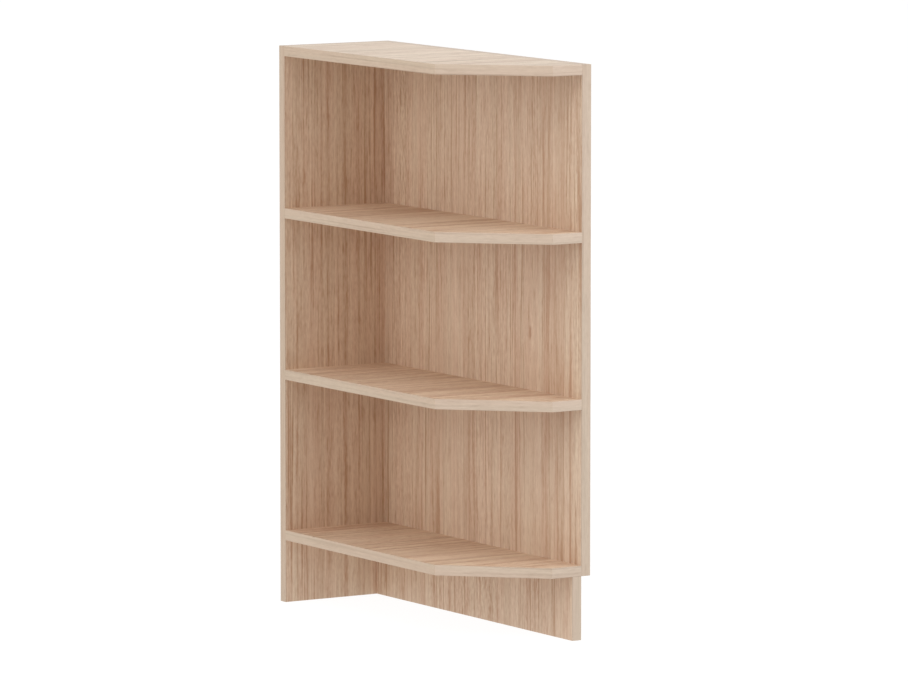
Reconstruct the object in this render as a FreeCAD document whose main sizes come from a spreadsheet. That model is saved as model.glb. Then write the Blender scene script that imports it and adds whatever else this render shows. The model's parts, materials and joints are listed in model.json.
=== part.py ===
"""Open corner bookcase with a cut-off front corner, in millimetres.

Two upright panels meet in an L: a narrow back panel that stands on the floor, and a deep side panel
that stops level with the underside of the bottom board. Four five-cornered boards sit in the L, and a
plinth board, set in by one board thickness, carries the bottom board. All boards are laminated
chipboard, taped on the edges that show. Countersunk connecting screws from the two hidden outer faces
hold them together, and dowels hold the bottom board on the plinth board.

Frame: +Z up, the open front faces -Y, the back panel is at +Y and the side panel at +X. The origin is
the bottom centre of the whole object.
"""

import FreeCAD, Part
import os
import Sketcher

Vector = FreeCAD.Vector
X_DIR, Y_DIR, Z_DIR = Vector(1, 0, 0), Vector(0, 1, 0), Vector(0, 0, 1)

# Driving dimensions
SIZES = {
    "overall_height": 876,
    "overall_width": 200,
    "overall_depth": 585,
    "plinth_height": 98,
    "board_thickness": 16,
    "front_edge_width": 53,
    "bevel_depth": 126,
    "edging_thickness": 1,
    "edging_chamfer_share": 0.5,
    "fit_clearance": 0.1,
    "bore_end_clearance": 1,
    "blind_bore_floor": 5,
    "side_screw_distance": 64,
    "rear_screw_distance": 37,
    "plinth_dowel_distance": 128,
    "screw_length": 50,
    "screw_diameter": 7,
    "screw_head_diameter": 10,
    "screw_head_sink": 0.4,
    "socket_width": 4,
    "socket_depth": 3,
    "dowel_diameter": 8,
    "dowel_length": 30,
    "dowel_flute_depth": 0.4,
}
COUNTERSINK_ANGLE = 90
FLUTES = 12
FULL_TURN = 360

# The horizontal boards from the floor up, evenly spaced
BOARDS = ("bottom_board", "lower_shelf", "upper_shelf", "top_board")
GAPS = len(BOARDS) - 1

# Sizes that follow from the driving dimensions, as expressions
THICK = "dim.board_thickness"
EDGE = "dim.edging_thickness"
RIGHT = "(dim.overall_width / 2)"
REAR = "(dim.overall_depth / 2)"
CLEAR_WIDTH = f"(dim.overall_width - {THICK})"
CLEAR_DEPTH = f"(dim.overall_depth - {THICK})"
SIDE_HEIGHT = "(dim.overall_height - dim.plinth_height)"
PITCH = f"(({SIDE_HEIGHT} - {THICK}) / {GAPS})"
BEVEL_WIDTH = f"({CLEAR_WIDTH} - dim.front_edge_width)"
BEVEL_LENGTH = f"sqrt({BEVEL_WIDTH} ^ 2 + dim.bevel_depth ^ 2)"
SIDE_MITRE = f"({EDGE} * ({BEVEL_LENGTH} - dim.bevel_depth) / {BEVEL_WIDTH})"
FRONT_MITRE = f"({EDGE} * ({BEVEL_LENGTH} - {BEVEL_WIDTH}) / dim.bevel_depth)"
FREE_EDGE_DEPTH = f"({CLEAR_DEPTH} - dim.bevel_depth)"
SCREW_BORE = "dim.screw_diameter + 2 * dim.fit_clearance"
PILOT_DEPTH = f"(dim.screw_length + dim.screw_head_sink - {THICK} + dim.bore_end_clearance)"
DOWEL_BORE = "dim.dowel_diameter + 2 * dim.fit_clearance"
DOWEL_SEAT = f"({THICK} - dim.blind_bore_floor - dim.bore_end_clearance)"
DOWEL_REACH = f"(dim.dowel_length - {DOWEL_SEAT})"

# Places of the fasteners along each joint, measured from the inner corner of the L
SIDE_SCREWS = ("dim.side_screw_distance", f"{CLEAR_DEPTH} - dim.side_screw_distance")
REAR_SCREWS = ("dim.rear_screw_distance", f"{CLEAR_WIDTH} - dim.rear_screw_distance")
PLINTH_DOWELS = ("dim.plinth_dowel_distance", f"{CLEAR_DEPTH} - dim.plinth_dowel_distance")
PLINTH_SCREW_HEIGHT = "dim.plinth_height / 2"

doc = FreeCAD.newDocument("CornerBookcase")
sheet = doc.addObject("Spreadsheet::Sheet", "dim")
for row, (alias, size) in enumerate(SIZES.items(), start=1):
    sheet.set(f"A{row}", alias)
    sheet.set(f"B{row}", str(size))
    sheet.setAlias(f"B{row}", alias)
doc.recompute()

nodes = []


def value(expression):
    """The number that an expression gives now, used as the first guess of a sketch."""
    return float(sheet.evalExpression(expression))


def facing(x_axis, y_axis):
    """The rotation that turns the local X and Y axes to the two given directions."""
    return FreeCAD.Rotation(x_axis, y_axis, x_axis.cross(y_axis), "XYZ")


def place(thing, x, y, z, rotation):
    """Turn an object and bind its origin to three expressions."""
    thing.Placement = FreeCAD.Placement(Vector(), rotation)
    for axis, expression in zip("xyz", (x, y, z)):
        thing.setExpression(f"Placement.Base.{axis}", expression)


def new_body(name):
    """An empty body whose label is the name of the piece."""
    body = doc.addObject("PartDesign::Body", name)
    body.Label = name
    return body


def new_sketch(body, role, name, offset="0"):
    """An empty sketch on one of the body's origin planes, moved along its normal by an expression."""
    sketch = body.newObject("Sketcher::SketchObject", f"{body.Name}_{name}_sketch")
    plane = next(feature for feature in body.Origin.OriginFeatures if feature.Role == role)
    sketch.AttachmentSupport = [(plane, "")]
    sketch.MapMode = "FlatFace"
    sketch.setExpression("AttachmentOffset.Base.z", offset)
    return sketch


def pin_point(sketch, curve, end, x, y):
    """Hold one point of a curve at x, y from the sketch's origin, both given as expressions."""
    for kind, axis_line, expression in (("DistanceX", -2, x), ("DistanceY", -1, y)):
        if expression == "0":
            sketch.addConstraint(Sketcher.Constraint("PointOnObject", curve, end, axis_line))
            continue
        rule = Sketcher.Constraint(kind, -1, 1, curve, end, value(expression))
        index = sketch.addConstraint(rule)
        sketch.setExpression(f"Constraints[{index}]", expression)


def outline(body, role, name, corners):
    """A closed sketch of straight lines through corners given as pairs of expressions."""
    sketch = new_sketch(body, role, name)
    points = [Vector(value(x), value(y), 0) for x, y in corners]
    for start, end in zip(points, points[1:] + points[:1]):
        sketch.addGeometry(Part.LineSegment(start, end))
    for line, (x, y) in enumerate(corners):
        next_line = (line + 1) % len(corners)
        sketch.addConstraint(Sketcher.Constraint("Coincident", line, 2, next_line, 1))
        pin_point(sketch, line, 1, x, y)
    return sketch


def circles(body, role, name, centres, diameter, offset="0"):
    """A sketch of equal circles at centres given as pairs of expressions."""
    sketch = new_sketch(body, role, name, offset)
    for curve, (x, y) in enumerate(centres):
        centre = Vector(value(x), value(y), 0)
        sketch.addGeometry(Part.Circle(centre, Z_DIR, value(diameter) / 2))
        pin_point(sketch, curve, 3, x, y)
        index = sketch.addConstraint(Sketcher.Constraint("Diameter", curve, value(diameter)))
        sketch.setExpression(f"Constraints[{index}]", diameter)
    return sketch


def pad(body, sketch, length):
    """Raise a sketch along its normal."""
    feature = body.newObject("PartDesign::Pad", f"{body.Name}_pad")
    feature.Profile = sketch
    feature.setExpression("Length", length)


def pocket(body, sketch, name, depth, along_normal):
    """Cut a sketch into the body to a depth, along its normal or against it."""
    feature = body.newObject("PartDesign::Pocket", f"{body.Name}_{name}")
    feature.Profile = sketch
    feature.Reversed = along_normal
    feature.setExpression("Length", depth)


def countersunk_bores(body, centres, along_normal, offset="0"):
    """Through bores for the screws, with cones that the screw heads sit in just below the face."""
    sketch = circles(body, "XY_Plane", "screw_bores", centres, SCREW_BORE, offset)
    feature = body.newObject("PartDesign::Hole", f"{body.Name}_screw_bores")
    feature.Profile = sketch
    doc.recompute()
    feature.Reversed = along_normal
    feature.DepthType = "ThroughAll"
    feature.HoleCutType = "Countersink"
    feature.HoleCutCustomValues = True
    feature.HoleCutCountersinkAngle = COUNTERSINK_ANGLE
    feature.setExpression("Diameter", SCREW_BORE)
    cone_width = "dim.screw_head_diameter + 2 * (dim.screw_head_sink + dim.fit_clearance)"
    feature.setExpression("HoleCutDiameter", cone_width)


def pilot_bores(body, role, name, centres, along_normal):
    """Blind bores for the screws in a board's edge."""
    sketch = circles(body, role, name, centres, SCREW_BORE)
    pocket(body, sketch, name, PILOT_DEPTH, along_normal)


def finish_piece(piece):
    """Note a finished piece, to be checked and written at the end."""
    nodes.append(piece)


def board_level(index):
    """Height of the underside of a horizontal board."""
    return f"(dim.plinth_height + {index} * {PITCH})"


def back_panel():
    """The narrow upright panel, which stands on the floor and butts against the side panel.

    Local X runs from the inner corner to the free end, local Y up and local Z to the rear.
    """
    body = new_body("back_panel")
    end_line = f"{CLEAR_WIDTH} - {EDGE}"
    top_line = f"dim.overall_height - {EDGE}"
    corners = [("0", "0"), (end_line, "0"), (end_line, top_line), ("0", top_line)]
    pad(body, outline(body, "XY_Plane", "panel", corners), THICK)
    screws = [(f"{THICK} / 2", PLINTH_SCREW_HEIGHT)]
    for index in range(len(BOARDS)):
        screws += [(station, f"{board_level(index)} + {THICK} / 2") for station in REAR_SCREWS]
    countersunk_bores(body, screws, along_normal=False, offset=THICK)
    place(body, f"{RIGHT} - {THICK}", f"{REAR} - {THICK}", "0", facing(-X_DIR, Z_DIR))
    finish_piece(body)


def side_panel():
    """The deep upright panel, which hangs clear of the floor.

    Local X runs from the rear to the front, local Y up from its lower edge and local Z inwards.
    """
    body = new_body("side_panel")
    front_line = f"dim.overall_depth - {EDGE}"
    top_line = f"{SIDE_HEIGHT} - {EDGE}"
    corners = [("0", EDGE), (front_line, EDGE), (front_line, top_line), ("0", top_line)]
    pad(body, outline(body, "XY_Plane", "panel", corners), THICK)
    screws = []
    for index in range(len(BOARDS)):
        height = f"{index} * {PITCH} + {THICK} / 2"
        screws += [(f"{THICK} + {station}", height) for station in SIDE_SCREWS]
    countersunk_bores(body, screws, along_normal=True)
    place(body, RIGHT, REAR, "dim.plinth_height", facing(-Y_DIR, Z_DIR))
    finish_piece(body)


def plinth_board():
    """The board under the bottom board, its outer face in line with the side panel's inner face.

    Local X runs from the rear to the front, local Y up and local Z inwards.
    """
    body = new_body("plinth_board")
    front_line = f"{CLEAR_DEPTH} - {EDGE}"
    top = "dim.plinth_height"
    corners = [("0", "0"), (front_line, "0"), (front_line, top), ("0", top)]
    pad(body, outline(body, "XY_Plane", "board", corners), THICK)
    pilot_bores(body, "YZ_Plane", "rear_pilot", [(PLINTH_SCREW_HEIGHT, f"{THICK} / 2")], True)
    dowels = [(station, f"{THICK} / 2") for station in PLINTH_DOWELS]
    sketch = circles(body, "XZ_Plane", "dowel_bores", dowels, DOWEL_BORE, offset=f"-{top}")
    pocket(body, sketch, "dowel_bores", f"{DOWEL_REACH} + dim.bore_end_clearance", True)
    place(body, f"{RIGHT} - {THICK}", f"{REAR} - {THICK}", "0", facing(-Y_DIR, Z_DIR))
    finish_piece(body)


def horizontal_board(name, index):
    """A five-cornered board with bores for screws in its two joined edges.

    Local X and Y run from the inner corner of the L along the back panel and the side panel.
    """
    body = new_body(name)
    free_line = f"{CLEAR_WIDTH} - {EDGE}"
    front_line = f"{CLEAR_DEPTH} - {EDGE}"
    corners = [
        ("0", "0"),
        (free_line, "0"),
        (free_line, f"{FREE_EDGE_DEPTH} - {SIDE_MITRE}"),
        (f"dim.front_edge_width - {FRONT_MITRE}", front_line),
        ("0", front_line),
    ]
    pad(body, outline(body, "XY_Plane", "board", corners), THICK)
    side_screws = [(station, f"{THICK} / 2") for station in SIDE_SCREWS]
    rear_screws = [(station, f"{THICK} / 2") for station in REAR_SCREWS]
    pilot_bores(body, "YZ_Plane", "side_pilots", side_screws, True)
    pilot_bores(body, "XZ_Plane", "rear_pilots", rear_screws, False)
    place(body, f"{RIGHT} - {THICK}", f"{REAR} - {THICK}", board_level(index), facing(-X_DIR, -Y_DIR))
    finish_piece(body)
    return body


def plinth_bores_in_bottom_board(body):
    """Blind bores in the underside of the bottom board for the dowels of the plinth board."""
    dowels = [(f"{THICK} / 2", station) for station in PLINTH_DOWELS]
    sketch = circles(body, "XY_Plane", "dowel_bores", dowels, DOWEL_BORE)
    pocket(body, sketch, "dowel_bores", f"{DOWEL_SEAT} + dim.bore_end_clearance", True)


def edging(name, length, start_mitre, end_mitre, x, y, z, rotation):
    """A strip of edge tape, its two outer long edges trimmed at an angle.

    Local X runs along the strip, local Y into the board and local Z across the board's thickness.
    """
    body = new_body(name)
    corners = [("0", "0"), (length, "0"), (f"{length} - {end_mitre}", EDGE), (start_mitre, EDGE)]
    pad(body, outline(body, "XY_Plane", "strip", corners), THICK)
    doc.recompute()
    strip = body.Tip
    near = value(EDGE) / 2
    outer_edges = []
    for number, edge in enumerate(strip.Shape.Edges, start=1):
        start, end = (vertex.Point for vertex in edge.Vertexes)
        if start.y < near and end.y < near and abs(start.z - end.z) < near:
            outer_edges.append(f"Edge{number}")
    trim = body.newObject("PartDesign::Chamfer", f"{name}_trim")
    trim.Base = (strip, outer_edges)
    trim.setExpression("Size", f"dim.edging_chamfer_share * {EDGE}")
    place(body, x, y, z, rotation)
    finish_piece(body)
    return body


def back_panel_edgings():
    """Tapes on the free end and the top of the back panel."""
    x, y = f"-{RIGHT}", f"{REAR} - {THICK}"
    top = "dim.overall_height"
    length = f"({CLEAR_WIDTH} - {EDGE})"
    edging("back_panel_end_edging", top, "0", "0", x, y, "0", facing(Z_DIR, X_DIR))
    edging("back_panel_top_edging", length, "0", "0", f"{x} + {EDGE}", y, top, facing(X_DIR, -Z_DIR))


def side_panel_edgings():
    """Tapes on the front, top and bottom of the side panel; its rear edge faces a wall and is bare."""
    top, bottom = "dim.overall_height", "dim.plinth_height"
    front = f"-{REAR}"
    length = f"(dim.overall_depth - {EDGE})"
    edging(
        "side_panel_front_edging", SIDE_HEIGHT, "0", "0",
        RIGHT, front, bottom, facing(Z_DIR, Y_DIR),
    )
    edging(
        "side_panel_top_edging", length, "0", "0",
        RIGHT, f"{front} + {EDGE}", top, facing(Y_DIR, -Z_DIR),
    )
    edging(
        "side_panel_bottom_edging", length, "0", "0",
        RIGHT, REAR, bottom, facing(-Y_DIR, Z_DIR),
    )


def plinth_edging():
    """The tape on the front end of the plinth board."""
    edging(
        "plinth_front_edging", "dim.plinth_height", "0", "0",
        f"{RIGHT} - {THICK}", f"-{REAR}", "0", facing(Z_DIR, Y_DIR),
    )


def board_edgings(name, index):
    """The three tapes of a horizontal board, mitred where they meet at the bevel."""
    level = board_level(index)
    free_side, front = f"-{RIGHT}", f"-{REAR}"
    edging(
        f"{name}_side_edging", FREE_EDGE_DEPTH, "0", SIDE_MITRE,
        free_side, f"{REAR} - {THICK}", level, facing(-Y_DIR, X_DIR),
    )
    bevel = edging(
        f"{name}_bevel_edging", BEVEL_LENGTH, SIDE_MITRE, FRONT_MITRE,
        free_side, f"{front} + dim.bevel_depth", level, FreeCAD.Rotation(Z_DIR, 0),
    )
    bevel.setExpression("Placement.Rotation.Angle", f"-atan2(dim.bevel_depth; {BEVEL_WIDTH})")
    edging(
        f"{name}_front_edging", "dim.front_edge_width", FRONT_MITRE, "0",
        f"{free_side} + {BEVEL_WIDTH}", front, level, facing(X_DIR, Y_DIR),
    )


def connecting_screw():
    """A countersunk connecting screw, its thread drawn at its outer diameter.

    The face of its head is at z = 0, it reaches up local Z, and it is turned by a hexagon socket.
    """
    body = new_body("connecting_screw")
    head, shank = "dim.screw_head_diameter / 2", "dim.screw_diameter / 2"
    profile = [
        ("0", "0"),
        (head, "0"),
        (shank, f"{head} - {shank}"),
        (shank, "dim.screw_length"),
        ("0", "dim.screw_length"),
    ]
    sketch = outline(body, "XZ_Plane", "profile", profile)
    turned = body.newObject("PartDesign::Revolution", "connecting_screw_turned")
    turned.Profile = sketch
    turned.ReferenceAxis = (sketch, ["V_Axis"])
    near, far = "dim.socket_width / 2", "dim.socket_width / sqrt(3)"
    hexagon = [
        (far, "0"),
        (f"{far} / 2", near),
        (f"-{far} / 2", near),
        (f"-{far}", "0"),
        (f"-{far} / 2", f"-{near}"),
        (f"{far} / 2", f"-{near}"),
    ]
    pocket(body, outline(body, "XY_Plane", "socket", hexagon), "socket", "dim.socket_depth", True)
    return body


def fluted_dowel():
    """A beech dowel with pressed flutes, from z = 0 up local Z."""
    body = new_body("fluted_dowel")
    step = FULL_TURN / FLUTES
    corners = []
    for flute in range(FLUTES):
        for radius, turn in (
            ("dim.dowel_diameter / 2", flute * step),
            ("(dim.dowel_diameter / 2 - dim.dowel_flute_depth)", (flute + 1 / 2) * step),
        ):
            corners.append((f"{radius} * cos({turn})", f"{radius} * sin({turn})"))
    pad(body, outline(body, "XY_Plane", "section", corners), "dim.dowel_length")
    return body


def group(name, original, places):
    """Links to one fastener at several places and turns, as separate solids."""
    links = []
    for number, (x, y, z, rotation) in enumerate(places, start=1):
        link = doc.addObject("App::Link", f"{name}_{number}")
        link.LinkedObject = original
        place(link, x, y, z, rotation)
        links.append(link)
    compound = doc.addObject("Part::Compound", name)
    compound.Label = name
    compound.Links = links
    finish_piece(compound)


def board_screws(name, index, screw):
    """The screws that join one horizontal board to the side panel and to the back panel."""
    height = f"{board_level(index)} + {THICK} / 2"
    head_x, head_y = f"{RIGHT} - dim.screw_head_sink", f"{REAR} - dim.screw_head_sink"
    places = []
    for station in SIDE_SCREWS:
        places.append((head_x, f"{REAR} - {THICK} - ({station})", height, facing(-Y_DIR, Z_DIR)))
    for station in REAR_SCREWS:
        places.append((f"{RIGHT} - {THICK} - ({station})", head_y, height, facing(X_DIR, Z_DIR)))
    group(f"{name}_screws", screw, places)


def plinth_fasteners(screw, dowel):
    """The screw through the back panel and the dowels up into the bottom board."""
    x = f"{RIGHT} - {THICK} - {THICK} / 2"
    head_y, low = f"{REAR} - dim.screw_head_sink", f"dim.plinth_height - {DOWEL_REACH}"
    group("plinth_screw", screw, [(x, head_y, PLINTH_SCREW_HEIGHT, facing(X_DIR, Z_DIR))])
    places = []
    for station in PLINTH_DOWELS:
        places.append((x, f"{REAR} - {THICK} - ({station})", low, facing(X_DIR, Y_DIR)))
    group("plinth_dowels", dowel, places)


# The boards and their tapes
back_panel()
back_panel_edgings()
side_panel()
side_panel_edgings()
plinth_board()
plinth_edging()
for board_index, board_name in enumerate(BOARDS):
    board = horizontal_board(board_name, board_index)
    if board_index == 0:
        plinth_bores_in_bottom_board(board)
    board_edgings(board_name, board_index)

# The fasteners: one of each kind is drawn, and every place links to it
screw_body, dowel_body = connecting_screw(), fluted_dowel()
for board_index, board_name in enumerate(BOARDS):
    board_screws(board_name, board_index, screw_body)
plinth_fasteners(screw_body, dowel_body)
doc.recompute()

# Every feature has to be sound, and every cut has to take something away
for thing in doc.Objects:
    if "Invalid" in thing.State or "Error" in thing.State:
        raise RuntimeError(f"{thing.Label} did not build: {thing.State}")
    if thing.TypeId in ("PartDesign::Pocket", "PartDesign::Hole"):
        if thing.Shape.Volume >= thing.BaseFeature.Shape.Volume:
            raise RuntimeError(f"{thing.Label} cuts nothing")
for piece in nodes:
    if piece.Shape.isNull() or not piece.Shape.isValid():
        raise RuntimeError(f"{piece.Label} has no valid shape")

os.makedirs("parts", exist_ok=True)
for piece in nodes:
    piece.Shape.exportStep(f"parts/{piece.Label}.step")
print(f"{len(nodes)} pieces, {sum(len(piece.Shape.Solids) for piece in nodes)} solids")
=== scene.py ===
"""The looks of the open corner bookcase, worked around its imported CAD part, in metres.

The file follows the bookcase as it is put together: the two upright panels, the plinth board, the
four level boards, the tapes on their edges, the screws and the dowels. The studio comes last.
"""

import json
import math

import bpy
import numpy as np
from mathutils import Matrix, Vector

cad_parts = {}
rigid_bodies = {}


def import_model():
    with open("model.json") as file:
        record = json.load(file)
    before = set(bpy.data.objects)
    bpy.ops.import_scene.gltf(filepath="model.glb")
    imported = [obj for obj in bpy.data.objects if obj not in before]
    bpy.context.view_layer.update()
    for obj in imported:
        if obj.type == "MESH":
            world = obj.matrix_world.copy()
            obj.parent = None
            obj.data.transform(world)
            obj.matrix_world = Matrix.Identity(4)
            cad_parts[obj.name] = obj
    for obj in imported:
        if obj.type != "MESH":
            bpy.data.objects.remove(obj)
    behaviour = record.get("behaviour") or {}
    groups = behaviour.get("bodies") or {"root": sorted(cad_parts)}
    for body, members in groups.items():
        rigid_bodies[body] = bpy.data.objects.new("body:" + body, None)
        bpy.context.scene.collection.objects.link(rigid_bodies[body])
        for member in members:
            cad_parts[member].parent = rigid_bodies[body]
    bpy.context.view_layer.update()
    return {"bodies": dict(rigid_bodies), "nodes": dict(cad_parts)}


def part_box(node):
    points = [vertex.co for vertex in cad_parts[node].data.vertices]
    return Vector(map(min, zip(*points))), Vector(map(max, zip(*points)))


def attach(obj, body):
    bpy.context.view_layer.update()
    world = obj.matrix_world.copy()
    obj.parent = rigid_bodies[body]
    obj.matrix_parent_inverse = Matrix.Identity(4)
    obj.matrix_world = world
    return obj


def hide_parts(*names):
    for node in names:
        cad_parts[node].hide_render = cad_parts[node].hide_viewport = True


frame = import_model()


# The back panel
# A narrow upright board of 16 mm chipboard that stands on the floor against the wall. Both faces
# carry a melamine film printed as straight-grained ash, with the grain upright. Screws through it
# hold the level boards and the plinth board.

X, Y, Z = range(3)
BOARD_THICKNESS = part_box("back_panel")[1].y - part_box("back_panel")[0].y
FILM_PALE = (0.775, 0.602, 0.448, 1.0)
FILM_DARK = (0.500, 0.300, 0.188, 1.0)
FILM_ROUGHNESS, FILM_CONTRAST = 0.53, 1.05
PINK_TINT = (1.010, 0.993, 0.993, 1.0)
STRAW_TINT = (0.992, 1.004, 1.000, 1.0)
FACE_STEP = 2.3
FACE_NORMAL = 0.99
PRINT_BUMP, PRINT_RELIEF = 0.6, 0.00003

# The noises of the print: patches a metre across the grain and along it, detail, place in the noise
SLOW_NOISE, QUICK_NOISE = (5.0, 1.7, 1.0, 3.0), (26.0, 11.0, 1.0, 5.0)
RING_NOISE, WAXING_NOISE = (9.0, 0.2, 1.0, 1.0), (90.0, 7.0, 1.0, 6.0)
STRIPED_NOISE, STRIPE_NOISE = (15.0, 1.0, 1.0, 8.0), (240.0, 2.6, 1.0, 9.0)
FLECK_NOISE, DASH_NOISE = (210.0, 22.0, 2.0, 4.0), (360.0, 90.0, 1.0, 6.0)
PORE_NOISE, CALM_NOISE = (760.0, 42.0, 1.0, 2.0), (14.0, 1.1, 1.0, 14.0)
HAIR_NOISE, FIBRE_NOISE = (430.0, 4.0, 1.0, 15.0), (600.0, 10.0, 2.0, 7.0)
BAND_NOISE, TINT_NOISE = (46.0, 3.4, 1.0, 11.0), (52.0, 2.2, 1.0, 12.0)
NOISE_ROUGHNESS = 0.6

# Where a mark of the print begins and is full, on its noise
RING_EDGE, STRIPED, STRIPES = (0.90, 1.0), (0.42, 0.62), (0.48, 0.72)
FLECKS, PORES, CALM, TINTS = (0.46, 0.74), (0.60, 0.76), (0.45, 0.60), (0.35, 0.65)

# How strong a mark is: what its mask or noise adds, and what is there without it
WAXING, STRIPE_WEIGHT, LIVELINESS = (3.0, -0.5), (-0.50, -0.30), (-0.45, 1.20)
FLECK_WEIGHT, DASH_WEIGHT = (-0.26, -0.38), (0.65, 0.68)
HAIR_WEIGHT, FIBRE_WEIGHT, BAND_WEIGHT, PRINT_TONE = 0.40, 0.55, 0.55, 0.77
RING_COUNT, RING_POWER, RING_DEPTH = 10.0, 2.5, 0.42
PORE_DEPTH, PORE_ROUGHNESS, FLECK_RELIEF = 0.22, 0.12, 0.3
SLOW_SWAY, QUICK_SWAY = 0.014, 0.0015

NO_EYE = (9.0, 0.0, 9.0)
EYE_WIDTH, EYE_LENGTH, EYE_PULL, EYE_ASIDE = 0.016, 0.045, 0.8, 0.003
HEART_POWER, SWELL_POWER, SWELL_DEPTH = 24.0, 4.0, 0.45
SWELL_START, SWELL_FULL = 0.001, 0.005

CHIP_PALE = (0.560, 0.412, 0.255, 1.0)
CHIP_DARK = (0.235, 0.142, 0.075, 1.0)
COARSE_CHIPS, FINE_CHIPS, CHIP_FLATNESS = 260.0, 900.0, 3.5
FINE_LAYER, CHIP_GAPS, GAP_DEPTH = (0.60, 0.82), (0.45, 0.85), 0.45
CHIP_ROUGHNESS, CHIP_RELIEF = 0.9, 8.0


def wire(tree, inputs, sources):
    """Link each socket to its source, or set it where the source is a plain value."""
    for socket, source in sources.items():
        if isinstance(source, bpy.types.NodeSocket):
            tree.links.new(source, inputs[socket])
        else:
            inputs[socket].default_value = source


def shade(tree, kind, sockets=None, **options):
    """Add a shader node, set its options, and link or set its inputs."""
    made = tree.nodes.new("ShaderNode" + kind)
    for option, choice in options.items():
        setattr(made, option, choice)
    wire(tree, made.inputs, sockets or {})
    return made


def reckon(tree, operation, *terms):
    """One step of arithmetic on numbers and sockets."""
    return shade(tree, "Math", dict(enumerate(terms)), operation=operation).outputs[0]


def blend(tree, share, first, second):
    """The first number where the share is 0, the second where it is 1."""
    return shade(tree, "Mix", {0: share, 2: first, 3: second}).outputs[0]


def blend_colours(tree, share, first, second, way="MIX"):
    """The first colour where the share is 0, the second (or their product) where it is 1."""
    sockets = {0: share, 6: first, 7: second}
    return shade(tree, "Mix", sockets, data_type="RGBA", blend_type=way).outputs[2]


def fade(tree, source, low, high):
    """0 where the source is at or under low, 1 at or over high, smooth between."""
    steps = {"Value": source, "From Min": low, "From Max": high}
    return shade(tree, "MapRange", steps, interpolation_type="SMOOTHSTEP").outputs[0]


def drawn_noise(tree, place, across, along, detail, shift):
    """Noise with so many patches a metre across the grain (X and Y) and along it (Z)."""
    scaled = shade(tree, "Mapping", {
        "Vector": place, "Scale": (across, across, along), "Location": (shift, shift, shift)})
    patches = {"Vector": scaled.outputs[0], "Scale": 1.0, "Detail": detail,
               "Roughness": NOISE_ROUGHNESS}
    return shade(tree, "TexNoise", patches).outputs[0]


def swing(tree, source, weight):
    """A noise moved to swing about nought, times its weight."""
    return reckon(tree, "MULTIPLY", reckon(tree, "SUBTRACT", source, 0.5), weight)


def new_group(name, inputs, outputs):
    """An empty node group with named inputs and outputs, and its two end nodes."""
    tree = bpy.data.node_groups.new(name, "ShaderNodeTree")
    for title, kind in inputs:
        tree.interface.new_socket(title, in_out="INPUT", socket_type="NodeSocket" + kind)
    for title, kind in outputs:
        tree.interface.new_socket(title, in_out="OUTPUT", socket_type="NodeSocket" + kind)
    given = tree.nodes.new("NodeGroupInput")
    end = tree.nodes.new("NodeGroupOutput")
    return tree, given.outputs, end.inputs


def new_material(name):
    """A material with a plain shader, and its nodes."""
    material = bpy.data.materials.new(name)
    material.use_nodes = True
    return material, material.node_tree


def grain_sway():
    """Where the print is read: straight grain that wanders a little, and parts round one small eye.

    Across the grain, the place moves by two noises. Near the eye it is drawn towards the eye and
    sideways, both by a bell curve of the distance, so that the lines spread around it. Powers of that
    bell give the knot itself: a short dark slit with a pale swelling beside it.
    """
    tree, given, end = new_group(
        "grain_sway",
        [("Place", "Vector"), ("Eye", "Vector"), ("Sway", "Float")],
        [("Place", "Vector"), ("Knot", "Float")])
    place = given["Place"]
    slow = swing(tree, drawn_noise(tree, place, *SLOW_NOISE), SLOW_SWAY)
    quick = swing(tree, drawn_noise(tree, place, *QUICK_NOISE), QUICK_SWAY)
    away = shade(tree, "VectorMath", {0: place, 1: given["Eye"]}, operation="SUBTRACT").outputs[0]
    scales = (1 / EYE_WIDTH, 0.0, 1 / EYE_LENGTH)
    scaled = shade(tree, "VectorMath", {0: away, 1: scales}, operation="MULTIPLY").outputs[0]
    square = shade(tree, "VectorMath", {0: scaled, 1: scaled}, operation="DOT_PRODUCT")
    reach = reckon(tree, "EXPONENT", reckon(tree, "MULTIPLY", square.outputs["Value"], -1.0))
    aside = shade(tree, "SeparateXYZ", {0: away}).outputs[0]
    pull = reckon(tree, "MULTIPLY", reckon(tree, "MULTIPLY_ADD", aside, -EYE_PULL, EYE_ASIDE), reach)
    moved = reckon(tree, "MULTIPLY_ADD", reckon(tree, "ADD", slow, quick), given["Sway"], pull)
    offset = shade(tree, "CombineXYZ", {"X": moved}).outputs[0]
    swayed = shade(tree, "VectorMath", {0: place, 1: offset}, operation="ADD").outputs[0]
    heart = reckon(tree, "POWER", reach, HEART_POWER)
    beside = fade(tree, reckon(tree, "MULTIPLY", aside, -1.0), SWELL_START, SWELL_FULL)
    swell = reckon(tree, "MULTIPLY", reckon(tree, "POWER", reach, SWELL_POWER), beside)
    knot = reckon(tree, "MULTIPLY_ADD", swell, -SWELL_DEPTH, heart)
    wire(tree, end, {"Place": swayed, "Knot": knot})
    return tree


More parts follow.
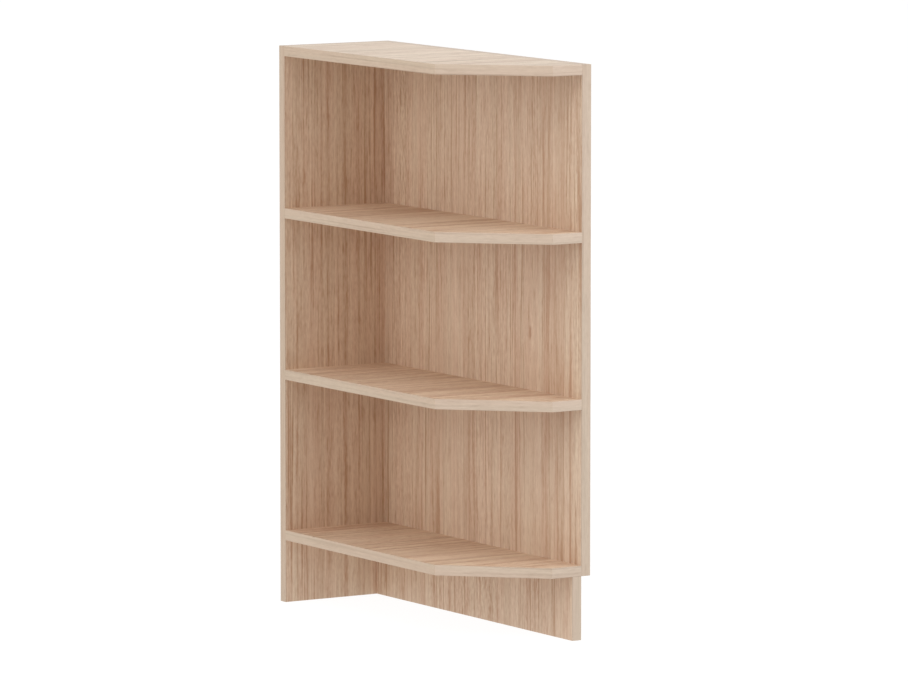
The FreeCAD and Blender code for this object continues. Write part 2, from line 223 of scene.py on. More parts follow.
def ash_grain():
    """Straight ash grain: growth rings, pinstripes, flecks, hairs and pores, all drawn out along Z.

    The rings are the levels of a long noise. Each darkens slowly across its width and ends sharply,
    and each has its own strength.
    """
    tree, given, end = new_group(
        "ash_grain",
        [("Place", "Vector"), ("Pale", "Color"), ("Dark", "Color"), ("Contrast", "Float"),
         ("Rings", "Float"), ("Lines", "Float"), ("Knot", "Float"), ("Figure", "Float")],
        [("Color", "Color"), ("Height", "Float"), ("Pores", "Float")])
    place = given["Place"]
    level = reckon(tree, "MULTIPLY", drawn_noise(tree, place, *RING_NOISE), RING_COUNT)
    layer = shade(tree, "SeparateXYZ", {0: place}).outputs["Y"]
    ring = shade(tree, "CombineXYZ", {"X": reckon(tree, "FLOOR", level), "Y": layer}).outputs[0]
    strength = shade(tree, "TexWhiteNoise", {"Vector": ring}, noise_dimensions="2D")
    rise = reckon(tree, "FRACT", level)
    edge = reckon(tree, "SUBTRACT", 1.0, fade(tree, rise, *RING_EDGE))
    rings = reckon(tree, "MULTIPLY", reckon(tree, "POWER", rise, RING_POWER), edge)
    rings = reckon(tree, "MULTIPLY", rings, strength.outputs["Value"])
    rings = reckon(tree, "MULTIPLY", rings, given["Rings"])
    marks = reckon(tree, "MULTIPLY_ADD", rings, RING_DEPTH, given["Lines"])
    waxing = reckon(tree, "MULTIPLY_ADD", drawn_noise(tree, place, *WAXING_NOISE), *WAXING)
    marks = reckon(tree, "MULTIPLY", marks, waxing)

    # The fine marks of the print, added up
    striped = fade(tree, drawn_noise(tree, place, *STRIPED_NOISE), *STRIPED)
    stripe_weight = reckon(tree, "MULTIPLY_ADD", striped, *STRIPE_WEIGHT)
    stripes = fade(tree, drawn_noise(tree, place, *STRIPE_NOISE), *STRIPES)
    flecks = fade(tree, drawn_noise(tree, place, *FLECK_NOISE), *FLECKS)
    fleck_weight = reckon(tree, "MULTIPLY_ADD", given["Figure"], *FLECK_WEIGHT)
    dashes = reckon(tree, "SUBTRACT", drawn_noise(tree, place, *DASH_NOISE), 0.5)
    dash_weight = reckon(tree, "MULTIPLY_ADD", given["Figure"], *DASH_WEIGHT)
    hairs = swing(tree, drawn_noise(tree, place, *HAIR_NOISE), HAIR_WEIGHT)
    fibres = swing(tree, drawn_noise(tree, place, *FIBRE_NOISE), FIBRE_WEIGHT)
    weave = reckon(tree, "MULTIPLY", stripes, stripe_weight)
    weave = reckon(tree, "MULTIPLY_ADD", dashes, dash_weight, weave)
    weave = reckon(tree, "MULTIPLY_ADD", flecks, fleck_weight, weave)
    weave = reckon(tree, "ADD", weave, hairs)
    weave = reckon(tree, "ADD", weave, fibres)

    # The tone of the print, from 0 for the dark colour to 1 for the pale one
    calm = fade(tree, drawn_noise(tree, place, *CALM_NOISE), *CALM)
    lively = reckon(tree, "MULTIPLY_ADD", calm, *LIVELINESS)
    bands = swing(tree, drawn_noise(tree, place, *BAND_NOISE), BAND_WEIGHT)
    pores = fade(tree, drawn_noise(tree, place, *PORE_NOISE), *PORES)
    tone = reckon(tree, "MULTIPLY_ADD", bands, given["Rings"], PRINT_TONE)
    tone = reckon(tree, "MULTIPLY_ADD", weave, lively, tone)
    tone = reckon(tree, "MULTIPLY_ADD", pores, -PORE_DEPTH, tone)
    tone = reckon(tree, "SUBTRACT", tone, reckon(tree, "ADD", marks, given["Knot"]))
    tone = reckon(tree, "MULTIPLY_ADD", reckon(tree, "SUBTRACT", tone, 0.5), given["Contrast"], 0.5)
    tone = shade(tree, "Clamp", {"Value": tone}).outputs[0]
    colour = blend_colours(tree, tone, given["Dark"], given["Pale"])

    # Some bands of the print lean to pink and some to straw
    drift = fade(tree, drawn_noise(tree, place, *TINT_NOISE), *TINTS)
    tint = blend_colours(tree, drift, PINK_TINT, STRAW_TINT)
    colour = blend_colours(tree, 1.0, colour, tint, "MULTIPLY")
    hollow = reckon(tree, "MULTIPLY", pores, -1.0)
    height = reckon(tree, "MULTIPLY_ADD", flecks, -FLECK_RELIEF, hollow)
    wire(tree, end, {"Color": colour, "Height": height, "Pores": pores})
    return tree


def chipboard_core():
    """Pressed chips that lie flat in the board, coarse in the middle of it and fine near its faces."""
    tree, given, end = new_group(
        "chipboard_core",
        [("Place", "Vector"), ("Flatten", "Vector"), ("Depth", "Float")],
        [("Color", "Color"), ("Height", "Float")])
    sockets = {0: given["Place"], 1: given["Flatten"]}
    flat = shade(tree, "VectorMath", sockets, operation="MULTIPLY").outputs[0]
    coarse = shade(tree, "TexVoronoi", {"Vector": flat, "Scale": COARSE_CHIPS}).outputs
    fine = shade(tree, "TexVoronoi", {"Vector": flat, "Scale": FINE_CHIPS}).outputs
    near_face = fade(tree, given["Depth"], *FINE_LAYER)
    chips = [shade(tree, "SeparateColor", {0: kind["Color"]}).outputs[0] for kind in (coarse, fine)]
    chip = blend(tree, near_face, *chips)
    distance = blend(tree, near_face, coarse["Distance"], fine["Distance"])
    gap = fade(tree, distance, *CHIP_GAPS)
    tone = reckon(tree, "MULTIPLY_ADD", gap, -GAP_DEPTH, chip)
    colour = blend_colours(tree, tone, CHIP_DARK, CHIP_PALE)
    wire(tree, end, {"Color": colour, "Height": reckon(tree, "SUBTRACT", chip, gap)})
    return tree


def growth_lines(tree, across, lines):
    """The strong lines that run the whole way along a board, at chosen places across it.

    Each line is a place, its widths on the low and the high side, and its depth. It rises smoothly
    from nought over one width, falls smoothly over the other, and the lines add up.
    """
    total = 0.0
    for spot, low_width, high_width, depth in lines:
        rise = fade(tree, across, spot - low_width, spot)
        fall = reckon(tree, "SUBTRACT", 1.0, fade(tree, across, spot, spot + high_width))
        line = reckon(tree, "MULTIPLY", reckon(tree, "MULTIPLY", rise, fall), depth)
        total = reckon(tree, "ADD", line, total)
    return total


def laminated(name, thick_axis, grain_axis, batch, lines=(), eye=NO_EYE, figured=(), sway=1.0,
              **film_look):
    """Decor film on the two large faces of a board, and bare chipboard on every other face.

    The film lies where the normal is along the thickness. Batch moves the print, so that no two
    boards match.
    """
    low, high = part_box(name)
    middle = (low[thick_axis] + high[thick_axis]) / 2
    across_axis = X + Y + Z - thick_axis - grain_axis
    material, tree = new_material(name + "_laminate")
    place = shade(tree, "TexCoord").outputs
    spot = shade(tree, "SeparateXYZ", {0: place["Object"]}).outputs
    normal = shade(tree, "SeparateXYZ", {0: place["Normal"]}).outputs
    side = reckon(tree, "GREATER_THAN", spot[thick_axis], middle)
    layer = reckon(tree, "MULTIPLY_ADD", side, FACE_STEP, batch)
    on_film = shade(tree, "CombineXYZ", {"X": spot[across_axis], "Y": layer, "Z": spot[grain_axis]})
    path = {"Place": on_film.outputs[0], "Eye": eye, "Sway": sway}
    swayed = shade(tree, "Group", path, node_tree=SWAY).outputs
    across = shade(tree, "SeparateXYZ", {0: swayed["Place"]}).outputs[0]
    look = {"Place": swayed["Place"], "Knot": swayed["Knot"], "Pale": FILM_PALE, "Dark": FILM_DARK,
            "Contrast": FILM_CONTRAST, "Rings": 1.0, "Lines": growth_lines(tree, across, lines),
            "Figure": growth_lines(tree, across, figured)}
    look.update(film_look)
    film = shade(tree, "Group", look, node_tree=GRAIN).outputs

    depth = reckon(tree, "ABSOLUTE", reckon(tree, "SUBTRACT", spot[thick_axis], middle))
    flatten = [1.0, 1.0, 1.0]
    flatten[thick_axis] = CHIP_FLATNESS
    sockets = {"Place": place["Object"], "Flatten": flatten,
               "Depth": reckon(tree, "DIVIDE", depth, BOARD_THICKNESS / 2)}
    core = shade(tree, "Group", sockets, node_tree=CORE).outputs

    bare = reckon(tree, "LESS_THAN", reckon(tree, "ABSOLUTE", normal[thick_axis]), FACE_NORMAL)
    gloss = reckon(tree, "MULTIPLY_ADD", film["Pores"], PORE_ROUGHNESS, FILM_ROUGHNESS)
    chip_height = reckon(tree, "MULTIPLY", core["Height"], CHIP_RELIEF)
    height = blend(tree, bare, film["Height"], chip_height)
    bump = shade(tree, "Bump", {"Strength": PRINT_BUMP, "Distance": PRINT_RELIEF, "Height": height})
    wire(tree, tree.nodes["Principled BSDF"].inputs, {
        "Base Color": blend_colours(tree, bare, film["Color"], core["Color"]),
        "Roughness": blend(tree, bare, gloss, CHIP_ROUGHNESS),
        "Normal": bump.outputs[0]})
    return material


def dress(name, material):
    """Give a CAD node its material."""
    for slot in frame["nodes"][name].material_slots:
        slot.material = material


SWAY, GRAIN, CORE = grain_sway(), ash_grain(), chipboard_core()
BACK_LINES = (
    (-0.086, 0.004, 0.004, -0.24), (-0.079, 0.003, 0.004, 0.20), (-0.065, 0.003, 0.003, 0.12),
    (-0.053, 0.004, 0.004, -0.16), (-0.033, 0.003, 0.003, 0.20), (-0.028, 0.003, 0.003, -0.14),
    (-0.021, 0.004, 0.005, 0.30), (-0.008, 0.006, 0.005, -0.18), (0.0105, 0.004, 0.005, 0.50),
    (0.022, 0.005, 0.004, -0.26), (0.035, 0.003, 0.003, 0.16), (0.059, 0.004, 0.004, -0.18),
    (0.066, 0.004, 0.004, 0.22), (0.079, 0.004, 0.003, 0.26))
back_film = laminated("back_panel", Y, Z, 1.7, BACK_LINES, sway=0.15, Contrast=1.02, Rings=0.4)
dress("back_panel", back_film)


# The side panel
# The deep upright board, which hangs clear of the floor and stands against the next cabinet. Its
# print has a few strong growth lines that run from top to bottom, past all the shelves.

SIDE_LINES = (
    (0.2680, 0.006, 0.006, 0.20), (0.2515, 0.006, 0.008, -0.14), (0.1870, 0.005, 0.005, -0.10),
    (0.1715, 0.002, 0.002, 0.20), (0.1565, 0.004, 0.004, -0.18), (0.1505, 0.002, 0.003, 0.18),
    (0.1375, 0.002, 0.003, 0.22), (0.1275, 0.002, 0.003, 0.12), (0.0995, 0.003, 0.004, 0.20),
    (0.0795, 0.002, 0.003, 0.16), (0.0645, 0.006, 0.006, -0.14), (0.0415, 0.010, 0.005, 0.24),
    (0.0270, 0.011, 0.010, 0.18), (0.0150, 0.002, 0.009, 0.10), (0.0050, 0.009, 0.009, -0.10),
    (-0.0555, 0.002, 0.003, 0.06), (-0.1845, 0.005, 0.004, 0.28), (-0.2015, 0.002, 0.004, 0.20),
    (-0.2120, 0.005, 0.006, -0.12), (-0.2620, 0.005, 0.005, 0.44), (-0.2790, 0.005, 0.005, -0.16))
SIDE_EYE = (-0.1480, 0.0, 0.4560)
SIDE_FIGURE = ((0.226, 0.060, 0.045, 1.0),)
dress("side_panel", laminated("side_panel", X, Z, 5.1, SIDE_LINES, SIDE_EYE, SIDE_FIGURE))


# The plinth board
# A low upright board under the bottom board, set in by one board thickness. Its upright grain is
# cut from a livelier part of the sheet.

PLINTH_LINES = (
    (0.247, 0.003, 0.004, 0.26), (0.203, 0.003, 0.004, 0.20), (0.136, 0.005, 0.006, 0.22),
    (0.099, 0.003, 0.005, 0.24), (-0.064, 0.004, 0.005, 0.30), (-0.168, 0.003, 0.004, 0.26),
    (-0.243, 0.003, 0.005, 0.28))
PLINTH_FIGURE = ((-0.010, 0.300, 0.200, 0.8),)
dress("plinth_board", laminated("plinth_board", X, Z, 9.4, PLINTH_LINES, figured=PLINTH_FIGURE))


# The level boards
# Four five-cornered boards with the grain across the bookcase, from the free side to the side panel.
# The top one gets paler, greyer print colours of its own: painted light, for the light on its open top.

LEVEL_BOARDS = ("bottom_board", "lower_shelf", "upper_shelf", "top_board")
# Painted light: the top board's print colours are lightened and greyed for the light on its open top
TOP_PALE_PAINTED_LIGHT = (0.788, 0.648, 0.520, 1.0)
TOP_DARK_PAINTED_LIGHT = (0.490, 0.360, 0.258, 1.0)
LEVEL_LOOK = {"Contrast": 1.55, "Rings": 1.5}
TOP_LOOK_PAINTED_LIGHT = {"Contrast": 1.3, "Rings": 1.5, "Pale": TOP_PALE_PAINTED_LIGHT, "Dark": TOP_DARK_PAINTED_LIGHT}
FIRST_BATCH, BATCH_STEP, TOP_BATCH = 13.0, 4.3, 27.5
for number, name in enumerate(LEVEL_BOARDS[:3]):
    dress(name, laminated(name, Z, X, FIRST_BATCH + BATCH_STEP * number, **LEVEL_LOOK))
dress("top_board", laminated("top_board", Z, X, TOP_BATCH, **TOP_LOOK_PAINTED_LIGHT))


# The edge tapes
# Strips of 1 mm decor tape glued to every edge that shows, cut flush and with their outer edges
# rounded over. Each is a profile carried straight along its edge, mitred where two meet at an angle.

# Painted light: each way an edge faces gets its own tape colour, lighter or darker for how the light
# falls on it
TAPE_COLOURS_PAINTED_LIGHT = {
    "board_side": ((0.690, 0.537, 0.399, 1.0), (0.488, 0.357, 0.251, 1.0)),
    "board_bevel": ((0.728, 0.580, 0.454, 1.0), (0.514, 0.386, 0.286, 1.0)),
    "board_front": ((0.678, 0.547, 0.436, 1.0), (0.479, 0.363, 0.275, 1.0)),
    "panel_front": ((0.645, 0.519, 0.408, 1.0), (0.456, 0.344, 0.255, 1.0)),
    "panel_end": ((0.665, 0.515, 0.384, 1.0), (0.470, 0.341, 0.240, 1.0))}
GLUE_BROWN = (0.200, 0.120, 0.070, 1.0)
TAPE_CONTRAST, TAPE_ROUGHNESS, TAPE_BUMP = 0.65, 0.45, 0.5
TAPE_LAYER = 3.0
TAPE_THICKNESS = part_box("plinth_front_edging")[1].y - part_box("plinth_front_edging")[0].y
TAPE_ROUND = 0.7 * TAPE_THICKNESS
ROUND_STEPS, TAPE_RINGS, TAPE_SHARP = 5, 3, 40
GLUE_LINE = 0.00012
BODY = next(iter(frame["bodies"]))


def tape_profile():
    """The tape's outline: depth into the board, place across the edge, and way round from its middle.

    The two outer edges are quarter circles, and the two inner ones are square.
    """
    turn = np.linspace(0.0, math.pi / 2, ROUND_STEPS + 1)
    half = BOARD_THICKNESS / 2
    depth = np.append(TAPE_THICKNESS, TAPE_ROUND * (1 - np.sin(turn)))
    across = np.append(half, half - TAPE_ROUND * (1 - np.cos(turn)))
    way = np.append(TAPE_THICKNESS - TAPE_ROUND, 0.0) + half - TAPE_ROUND + TAPE_ROUND * math.pi / 2
    way = np.append(way, half - TAPE_ROUND + TAPE_ROUND * (math.pi / 2 - turn[1:]))
    halves = ((depth, 1), (across, -1), (way, -1))
    return [np.concatenate((side, sign * side[::-1])) for side, sign in halves]


def tape_material(name, pale, dark):
    """Fine straight streaks along the tape, read from its own map, and a thin brown line of glue."""
    material, tree = new_material(name)
    spot = shade(tree, "SeparateXYZ", {0: shade(tree, "TexCoord").outputs["UV"]}).outputs
    place = shade(tree, "CombineXYZ", {"X": spot[1], "Y": TAPE_LAYER, "Z": spot[0]}).outputs[0]
    look = {"Place": place, "Pale": pale, "Dark": dark, "Contrast": TAPE_CONTRAST}
    film = shade(tree, "Group", look, node_tree=GRAIN).outputs
    full_way = float(tape_profile()[2].max())
    glued = reckon(tree, "GREATER_THAN", reckon(tree, "ABSOLUTE", spot[1]), full_way - GLUE_LINE)
    relief = {"Strength": TAPE_BUMP, "Distance": PRINT_RELIEF, "Height": film["Height"]}
    wire(tree, tree.nodes["Principled BSDF"].inputs, {
        "Base Color": blend_colours(tree, glued, film["Color"], GLUE_BROWN),
        "Roughness": TAPE_ROUGHNESS,
        "Normal": shade(tree, "Bump", relief).outputs[0]})
    return material


def ring_faces(rings, count):
    """The four-cornered faces between neighbouring rings of points, row after row."""
    corner = np.arange(count)
    after = (corner + 1) % count
    base = np.arange(rings - 1)[:, None] * count
    faces = np.stack((base + corner, base + after, base + count + after, base + count + corner), -1)
    return faces.reshape(-1, 4)


def new_piece(name, points, faces, sharp_angle, material, replaced):
    """Make a closed mesh a piece of the bookcase that stands for a CAD node."""
    mesh = bpy.data.meshes.new(name)
    mesh.from_pydata(points, [], faces)
    mesh.update()
    mesh.shade_smooth()
    mesh.set_sharp_from_angle(angle=math.radians(sharp_angle))
    mesh.materials.append(material)
    piece = bpy.data.objects.new(name, mesh)
    bpy.context.scene.collection.objects.link(piece)
    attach(piece, BODY)
    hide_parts(replaced)
    return mesh


def tape(roll, material, name, start, end, inward, across, start_mitre=0.0, end_mitre=0.0):
    """Carry the profile from start to end along the outer face of an edge, and return its length.

    A point is start, plus its share of the length, plus its depth times the inward direction, plus its
    place across times the across direction. The mitres shorten the strip in step with depth. Roll is
    the place on the roll of tape where the strip begins.
    """
    start, end, inward, across = (np.array(way, float) for way in (start, end, inward, across))
    length = np.linalg.norm(end - start)
    run = (end - start) / length
    depth, place, way = tape_profile()
    share = np.linspace(0.0, 1.0, TAPE_RINGS)[:, None]
    cut = depth / TAPE_THICKNESS
    along = share * (length - end_mitre * cut) + (1 - share) * start_mitre * cut
    points = start + along[..., None] * run + depth[:, None] * inward + place[:, None] * across
    rings, count = along.shape
    corner = np.arange(count)
    ends = [corner[::-1].tolist(), (corner + (rings - 1) * count).tolist()]
    faces = ring_faces(rings, count).tolist() + ends
    if np.dot(np.cross(run, inward), across) < 0:
        faces = [face[::-1] for face in faces]
    strip = points.reshape(-1, 3)
    mesh = new_piece(name + "_tape", strip, faces, TAPE_SHARP, material, name)
    owner = np.empty(len(mesh.loops), np.int32)
    mesh.loops.foreach_get("vertex_index", owner)
    flat = np.stack(((along + roll).ravel()[owner], np.tile(way, rings)[owner]), -1)
    mesh.uv_layers.new(name="UVMap").data.foreach_set("uv", flat.astype(np.float32).ravel())
    return length


def straight_tape(name, run_axis, inward_axis, inward, backwards=False, **mitres):
    """A strip along one axis: name, start, end, inward direction, across direction and mitres."""
    low, high = (np.array(corner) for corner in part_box(name))
    start = (low + high) / 2
    start[inward_axis] = low[inward_axis] if inward > 0 else high[inward_axis]
    end = start.copy()
    start[run_axis], end[run_axis] = low[run_axis], high[run_axis]
    if backwards:
        start, end = end, start
    across = np.eye(3)[X + Y + Z - run_axis - inward_axis]
    return (name, start, end, inward * np.eye(3)[inward_axis], across), mitres


# Each tape kind's colours carry painted light: lighter or darker by the way its edges face
tapes_painted_light = {kind: tape_material(kind + "_tape", *colours) for kind, colours in TAPE_COLOURS_PAINTED_LIGHT.items()}
strips = [
    straight_tape("back_panel_end_edging", Z, X, 1),
    straight_tape("back_panel_top_edging", X, Z, -1),
    straight_tape("side_panel_front_edging", Z, Y, 1),
    straight_tape("side_panel_top_edging", Y, Z, -1),
    straight_tape("side_panel_bottom_edging", Y, Z, 1),
    straight_tape("plinth_front_edging", Z, Y, 1)]
for board in LEVEL_BOARDS:
    low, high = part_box(board + "_bevel_edging")
    height = (low.z + high.z) / 2
    width, depth = high.x - low.x, high.y - low.y
    length = math.hypot(width, depth)
    side_mitre = TAPE_THICKNESS * (length - depth) / width
    front_mitre = TAPE_THICKNESS * (length - width) / depth
    bevel = (board + "_bevel_edging", (low.x, high.y, height), (high.x, low.y, height),
             (depth / length, width / length, 0), (0, 0, 1))
    strips += [
        straight_tape(board + "_side_edging", Y, X, 1, backwards=True, end_mitre=side_mitre),
        (bevel, {"start_mitre": side_mitre, "end_mitre": front_mitre}),
        straight_tape(board + "_front_edging", X, Y, 1, start_mitre=front_mitre)]
roll = 0.0
for strip, mitres in strips:
    board_kind = "board" if strip[0].startswith(LEVEL_BOARDS) else "panel"
    edge = strip[0].split("_")[-2]
    material = tapes_painted_light.get(board_kind + "_" + edge, tapes_painted_light["panel_front"])
    roll += tape(roll, material, *strip, **mitres)


# The connecting screws
# Zinc-plated screws with a countersunk head, a hexagon socket, a plain neck and a coarse thread that
# bites into the chipboard. Their heads lie just under the two outer faces, which nobody sees in use.

SCREW_LENGTH, HEAD_RADIUS, NECK_RADIUS = 0.050, 0.005, 0.0033
THREAD_RADIUS, ROOT_RADIUS, THREAD_PITCH = 0.0034, 0.0023, 0.003
SOCKET_RADIUS, SOCKET_DEPTH, SOCKET_POINT = 0.002, 0.003, 0.0006
SOCKET_FLARE, SOCKET_EDGE = 1.08, 0.0003
HEAD_EDGE, HEAD_SINK = 0.0002, 0.0004
NECK_END, THREAD_END = 0.012, 0.046
THREAD_STEPS, RIDGE_WIDTH = 9, 0.22
TIP_RADIUS, TIP_ROUND = 0.0008, 0.0004
SIDE_SCREW_DISTANCE, REAR_SCREW_DISTANCE = 0.064, 0.037
ROUND_POINTS, SCREW_SHARP = 36, 35
FACET = math.pi / 3
ZINC_DULL, ZINC_BRIGHT = (0.560, 0.565, 0.560, 1.0), (0.800, 0.800, 0.775, 1.0)
ZINC_CLOUDS, ZINC_MARKS, ZINC_ROUGHNESS = 420.0, 5200.0, (0.25, 0.18)
ZINC_BUMP, ZINC_RELIEF = 0.25, 0.00002


def screw_surface():
    """One screw along +Z with its head's face at 0, as a grid of rows round its axis.

    The socket's rows are hexagons: half the width across flats over the cosine of the angle from the
    nearest flat. In the thread, the radius is the root plus a ridge that climbs one pitch a turn.
    """
    angle = np.linspace(0.0, 2 * math.pi, ROUND_POINTS, endpoint=False)
    hexagon = SOCKET_RADIUS / np.cos((angle + FACET / 2) % FACET - FACET / 2)
    ring = np.ones(ROUND_POINTS)
    head = [
        (0 * ring, SOCKET_DEPTH + SOCKET_POINT), (hexagon, SOCKET_DEPTH), (hexagon, SOCKET_EDGE),
        (hexagon * SOCKET_FLARE, 0.0), ((HEAD_RADIUS - HEAD_EDGE) * ring, 0.0),
        (HEAD_RADIUS * ring, HEAD_EDGE), (HEAD_RADIUS * ring, 2 * HEAD_EDGE),
        (NECK_RADIUS * ring, 2 * HEAD_EDGE + HEAD_RADIUS - NECK_RADIUS), (NECK_RADIUS * ring, NECK_END)]
    steps = int((THREAD_END - NECK_END) / THREAD_PITCH * THREAD_STEPS)
    climb = np.linspace(NECK_END, THREAD_END, steps)
    phase = (climb[:, None] / THREAD_PITCH - angle / (2 * math.pi)) % 1.0
    ridge = np.clip(1 - np.abs(phase - 0.5) / RIDGE_WIDTH, 0.0, 1.0)
    grown = np.clip((climb - NECK_END) / THREAD_PITCH, 0.0, 1.0)[:, None]
    faded = np.clip((THREAD_END - climb) / (2 * THREAD_PITCH), 0.0, 1.0)[:, None]
    radius = ROOT_RADIUS + (THREAD_RADIUS - ROOT_RADIUS) * ridge * grown * faded
    tip = [(TIP_RADIUS * ring, SCREW_LENGTH - TIP_ROUND), (0 * ring, SCREW_LENGTH)]
    radii = np.array([row for row, _ in head] + list(radius) + [row for row, _ in tip])
    heights = np.array([rise for _, rise in head] + list(climb) + [rise for _, rise in tip])
    return np.stack((radii * np.cos(angle), radii * np.sin(angle), heights[:, None] * ring), -1)


def round_pieces(name, grids, material, replaced, sharp_angle):
    """Join closed grids of rows into one mesh, with each first and last row drawn to a point."""
    rows, count = grids[0].shape[:2]
    points = [np.concatenate((grid[0, :1], grid[1:-1].reshape(-1, 3), grid[-1, :1])) for grid in grids]
    corner = np.arange(count)
    after = (corner + 1) % count
    last = 1 + (rows - 3) * count
    sides = 1 + ring_faces(rows - 2, count)
    first_cap = np.stack((0 * corner, 1 + after, 1 + corner), -1)
    last_cap = np.stack((0 * corner + last + count, last + corner, last + after), -1)
    faces = []
    for number in range(len(grids)):
        base = number * len(points[0])
        for part in (sides, first_cap, last_cap):
            faces += (part + base).tolist()
    new_piece(name, np.concatenate(points), faces, sharp_angle, material, replaced)


def stand(grid, origin, axis):
    """Turn a grid that runs along +Z so that it runs along the axis from the origin."""
    axis = np.array(axis, float)
    first = np.roll(axis, 1)
    second = np.cross(axis, first)
    return np.array(origin) + grid[..., :1] * first + grid[..., 1:2] * second + grid[..., 2:] * axis


def zinc_material():
    """Bright zinc plate: a cool grey metal with clouded sheen and fine turning marks."""
    material, tree = new_material("zinc_plate")
    place = shade(tree, "TexCoord").outputs["Object"]
    cloud = shade(tree, "TexNoise", {"Vector": place, "Scale": ZINC_CLOUDS, "Detail": 3.0}).outputs[0]
    marks = shade(tree, "TexNoise", {"Vector": place, "Scale": ZINC_MARKS, "Detail": 1.0}).outputs[0]
    relief = {"Strength": ZINC_BUMP, "Distance": ZINC_RELIEF, "Height": marks}
    wire(tree, tree.nodes["Principled BSDF"].inputs, {
        "Base Color": blend_colours(tree, cloud, ZINC_DULL, ZINC_BRIGHT),
        "Metallic": 1.0,
        "Roughness": reckon(tree, "MULTIPLY_ADD", cloud, *ZINC_ROUGHNESS),
        "Normal": shade(tree, "Bump", relief).outputs[0]})
    return material


STEEL = zinc_material()
screw_grid = screw_surface()
inner_x, inner_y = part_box("side_panel")[0].x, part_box("back_panel")[0].y
head_x, head_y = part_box("side_panel")[1].x - HEAD_SINK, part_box("back_panel")[1].y - HEAD_SINK
free_x, front_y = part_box("back_panel_end_edging")[0].x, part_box("side_panel_front_edging")[0].y
side_rows = (inner_y - SIDE_SCREW_DISTANCE, front_y + SIDE_SCREW_DISTANCE)
rear_rows = (inner_x - REAR_SCREW_DISTANCE, free_x + REAR_SCREW_DISTANCE)
for board in LEVEL_BOARDS:
    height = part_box(board)[0].z + BOARD_THICKNESS / 2
    screws = [stand(screw_grid, (head_x, y, height), (-1, 0, 0)) for y in side_rows]
    screws += [stand(screw_grid, (x, head_y, height), (0, -1, 0)) for x in rear_rows]
    name = board + "_threaded_screws"
    round_pieces(name, screws, STEEL, board + "_screws", SCREW_SHARP)
plinth_low, plinth_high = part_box("plinth_board")
plinth_x = (plinth_low.x + plinth_high.x) / 2
screw = stand(screw_grid, (plinth_x, head_y, plinth_high.z / 2), (0, -1, 0))
round_pieces("plinth_threaded_screw", [screw], STEEL, "plinth_screw", SCREW_SHARP)


# The dowels
# Two beech dowels stand in the plinth board and reach up into the bottom board. Their sides are
# pressed into flutes for the glue, and their ends are chamfered to start in the bore.

BEECH_PALE = (0.640, 0.445, 0.270, 1.0)
BEECH_DARK = (0.470, 0.290, 0.160, 1.0)
BEECH_CONTRAST, BEECH_ROUGHNESS, BEECH_BUMP, BEECH_RELIEF = 1.0, 0.7, 0.5, 0.00005
DOWEL_RADIUS, FLUTE_DEPTH, DOWEL_CHAMFER, FLUTES = 0.004, 0.0004, 0.001, 12
DOWEL_DISTANCE, DOWEL_SHARP = 0.128, 30


def dowel_surface(low, high):
    """A fluted cylinder: the radius dips by a cosine as often as there are flutes, less the chamfers."""
    angle = np.linspace(0.0, 2 * math.pi, 6 * FLUTES, endpoint=False)
    fluted = DOWEL_RADIUS - FLUTE_DEPTH * (0.5 - 0.5 * np.cos(FLUTES * angle))
    end = (DOWEL_RADIUS - DOWEL_CHAMFER) * np.ones_like(angle)
    radii = np.array((0 * angle, end, fluted, fluted, end, 0 * angle))
    heights = np.array((low, low, low + DOWEL_CHAMFER, high - DOWEL_CHAMFER, high, high))
    rises = heights[:, None] + 0 * angle
    return np.stack((radii * np.cos(angle), radii * np.sin(angle), rises), -1)


def beech_material():
    """Bare beech with its grain along the dowel."""
    material, tree = new_material("bare_beech")
    place = shade(tree, "TexCoord").outputs["Object"]
    look = {"Place": place, "Pale": BEECH_PALE, "Dark": BEECH_DARK, "Contrast": BEECH_CONTRAST}
    wood = shade(tree, "Group", look, node_tree=GRAIN).outputs
    relief = {"Strength": BEECH_BUMP, "Distance": BEECH_RELIEF, "Height": wood["Height"]}
    wire(tree, tree.nodes["Principled BSDF"].inputs, {
        "Base Color": wood["Color"],
        "Roughness": BEECH_ROUGHNESS,
        "Normal": shade(tree, "Bump", relief).outputs[0]})
    return material


dowel_low, dowel_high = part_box("plinth_dowels")
dowel_grid = dowel_surface(dowel_low.z, dowel_high.z)
dowel_rows = (inner_y - DOWEL_DISTANCE, front_y + DOWEL_DISTANCE)
dowels = [dowel_grid + np.array((plinth_x, y, 0.0)) for y in dowel_rows]
BEECH = beech_material()
round_pieces("plinth_fluted_dowels", dowels, BEECH, "plinth_dowels", DOWEL_SHARP)


# The studio
# A seamless white floor, even light from all round and three large soft lamps. The camera stands
# where the photograph was taken from.

WHITE, PAPER_WHITE = (1.0, 1.0, 1.0, 1.0), (0.9, 0.9, 0.9, 1.0)
ROOM_ABOVE, ROOM_BELOW, HORIZON = 0.57, 0.82, 0.1
FLOOR_SIZE = 60.0
FLOOR_GLOW, FLOOR_SHARE = 1.09, 0.86
LAMP_SIZE, LAMP_DISTANCE = 5.0, 7.0
LAMP_AIM = Vector((0.0, 0.0, 0.45))

# Name, azimuth from the front to the left, elevation and watts
LAMPS = (
    ("left_lamp", 90.0, 20.0, 99.0),
    ("high_lamp", 45.0, 60.0, 117.0),
    ("right_lamp", -40.0, 25.0, 218.0))
CAMERA_PLACE = (-5.7282, -9.2111, 1.6756)
CAMERA_AZIMUTH, CAMERA_TILT = 0.5594, 0.1139
SENSOR_WIDTH, FOCAL_LENGTH, FARTHEST_SEEN = 36.0, 281.04, 100.0


def bearing(azimuth, elevation):
    """The direction at an angle from the front to the left, and an angle above level."""
    level = math.cos(elevation)
    return Vector((-math.sin(azimuth) * level, -math.cos(azimuth) * level, math.sin(elevation)))


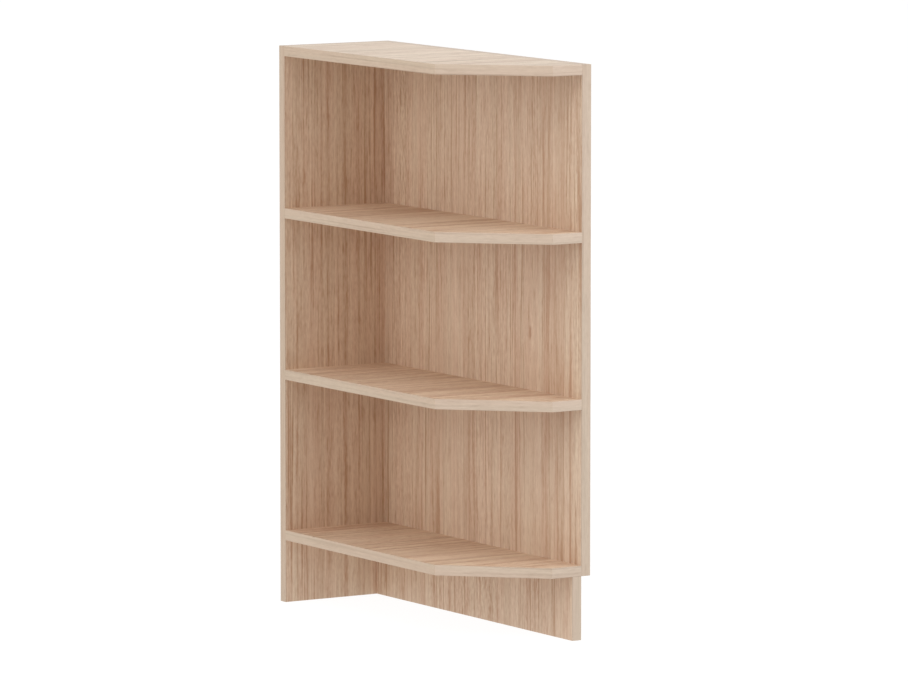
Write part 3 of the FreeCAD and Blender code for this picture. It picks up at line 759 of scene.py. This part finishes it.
def aim(thing, direction):
    """Turn a lamp or a camera to look along a direction."""
    thing.rotation_euler = direction.to_track_quat("-Z", "Y").to_euler()


def seen_rays(tree):
    """1 for what the camera sees, straight or mirrored, and 0 for the light on the bookcase."""
    rays = shade(tree, "LightPath").outputs
    seen = reckon(tree, "MAXIMUM", rays["Is Camera Ray"], rays["Is Glossy Ray"])
    return reckon(tree, "MAXIMUM", seen, rays["Is Transmission Ray"])


scene = bpy.context.scene
scene.view_settings.view_transform = "Standard"

room = bpy.data.worlds.new("room")
scene.world = room
room.use_nodes = True
tree = room.node_tree
up = shade(tree, "SeparateXYZ", {0: shade(tree, "TexCoord").outputs["Generated"]}).outputs["Z"]
light = blend(tree, fade(tree, up, -HORIZON, HORIZON), ROOM_BELOW, ROOM_ABOVE)
wire(tree, tree.nodes["Background"].inputs, {
    "Color": WHITE,
    "Strength": blend(tree, seen_rays(tree), light, 1.0)})

half = FLOOR_SIZE / 2
corners = [(-half, -half, 0), (half, -half, 0), (half, half, 0), (-half, half, 0)]
floor_mesh = bpy.data.meshes.new("studio_floor")
floor_mesh.from_pydata(corners, [], [(0, 1, 2, 3)])
floor = bpy.data.objects.new("studio_floor", floor_mesh)
scene.collection.objects.link(floor)
floor.visible_diffuse = False
paper, tree = new_material("white_paper")
matt = shade(tree, "BsdfDiffuse", {"Color": PAPER_WHITE})
glow = shade(tree, "Emission", {"Color": WHITE, "Strength": FLOOR_GLOW})
share = reckon(tree, "MULTIPLY", seen_rays(tree), FLOOR_SHARE)
lit = shade(tree, "MixShader", {0: share, 1: matt.outputs[0], 2: glow.outputs[0]})
tree.links.new(lit.outputs[0], tree.nodes["Material Output"].inputs["Surface"])
floor_mesh.materials.append(paper)

for name, azimuth, elevation, watts in LAMPS:
    toward = bearing(math.radians(azimuth), math.radians(elevation))
    lamp = bpy.data.lights.new(name, "AREA")
    lamp.shape = "SQUARE"
    lamp.size = LAMP_SIZE
    lamp.energy = watts
    softbox = bpy.data.objects.new(name, lamp)
    softbox.location = LAMP_AIM + toward * LAMP_DISTANCE
    softbox.visible_camera = False
    aim(softbox, -toward)
    scene.collection.objects.link(softbox)

lens = bpy.data.cameras.new("camera")
lens.sensor_width = SENSOR_WIDTH
lens.lens = FOCAL_LENGTH
lens.clip_end = FARTHEST_SEEN
camera = bpy.data.objects.new("camera", lens)
camera.location = CAMERA_PLACE
aim(camera, -bearing(CAMERA_AZIMUTH, CAMERA_TILT))
scene.collection.objects.link(camera)
scene.camera = camera
